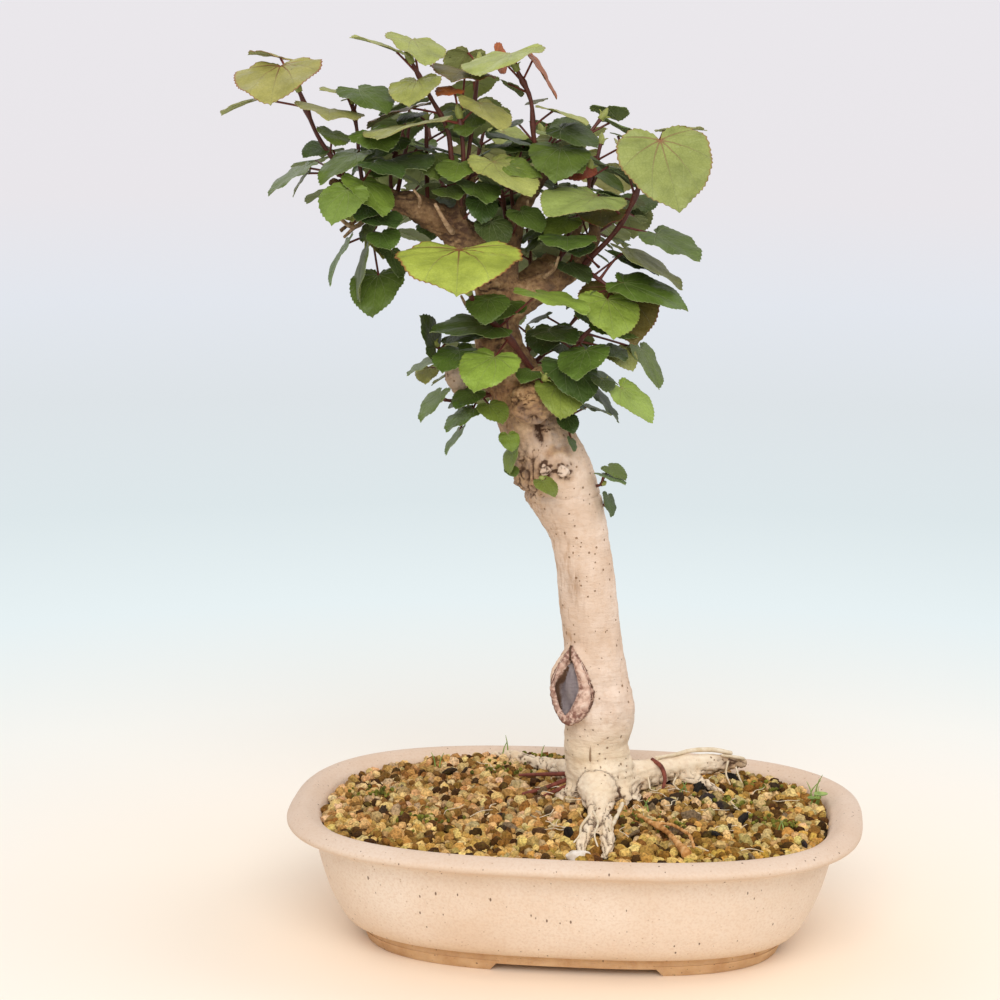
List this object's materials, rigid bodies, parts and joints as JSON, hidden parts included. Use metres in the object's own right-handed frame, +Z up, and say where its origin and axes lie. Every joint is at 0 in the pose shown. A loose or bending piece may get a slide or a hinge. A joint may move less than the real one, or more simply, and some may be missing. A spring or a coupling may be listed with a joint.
{
  "type": "bonsai",
  "caption": "Sea hibiscus bonsai with a leaning pale trunk and a crown of heart-shaped leaves, grown in an oblong unglazed stoneware pot.",
  "frame": {"origin": "middle of the bounding box, on the surface the pot stands on", "axes": "+Z up, +X along the pot's long side to the right, +Y to the back"},
  "size_m": [0.4028, 0.2724, 0.5638],
  "materials": {
    "pot": "matt unglazed stoneware with fine dark specks",
    "drain_screen": "matt moulded mesh",
    "soil": "dry ochre clay grains",
    "bark": "pale smooth bark, wrinkled and dotted",
    "dead_root": "dry orange-brown root",
    "pebble": "smooth pale stone",
    "young_leaves": "soft yellow-green leaf",
    "leaves": "matt mid-green leaf",
    "dark_leaves": "dark green leaf"
  },
  "bodies": {
    "root": {"pot": "pot", "drain_screen_left": "drain_screen", "drain_screen_right": "drain_screen", "soil": "soil", "tree": "bark", "dead_root": "dead_root", "pebble": "pebble", "shoot_left_tip": "young_leaves", "shoot_left_second": "young_leaves", "shoot_top_left": "young_leaves", "shoot_top_mid": "leaves", "shoot_top_right": "young_leaves", "shoot_mid_front": "leaves", "shoot_right_tip": "leaves", "shoot_right_upright": "leaves", "shoot_right_low": "leaves", "shoot_front": "young_leaves", "shoot_front_right": "leaves", "shoot_low_right": "leaves", "shoot_low_front": "young_leaves", "shoot_left_mid": "leaves", "shoot_left_low": "leaves", "shoot_trunk_left": "leaves", "shoot_trunk_front": "young_leaves", "shoot_trunk_right": "leaves", "shoot_trunk_right_low": "dark_leaves", "shoot_under_right": "dark_leaves", "shoot_left_bough_end": "leaves", "shoot_left_front": "leaves", "shoot_left_back": "dark_leaves", "shoot_left_hang": "leaves", "shoot_mid_back": "dark_leaves", "shoot_back_left_end": "leaves", "shoot_back_left_low": "dark_leaves", "shoot_back_left_high": "leaves", "shoot_back_right_end": "leaves", "shoot_back_right_side": "leaves", "shoot_back_right_high": "leaves", "shoot_back_right_low": "dark_leaves", "shoot_inner_left": "dark_leaves", "shoot_inner_middle": "dark_leaves", "shoot_inner_right": "leaves", "shoot_low_back": "leaves", "shoot_low_back_right": "dark_leaves", "shoot_low_back_left": "leaves", "shoot_left_bough_back": "leaves", "shoot_top_back": "leaves", "shoot_top_right_back": "leaves"}
  },
  "joints": []
}
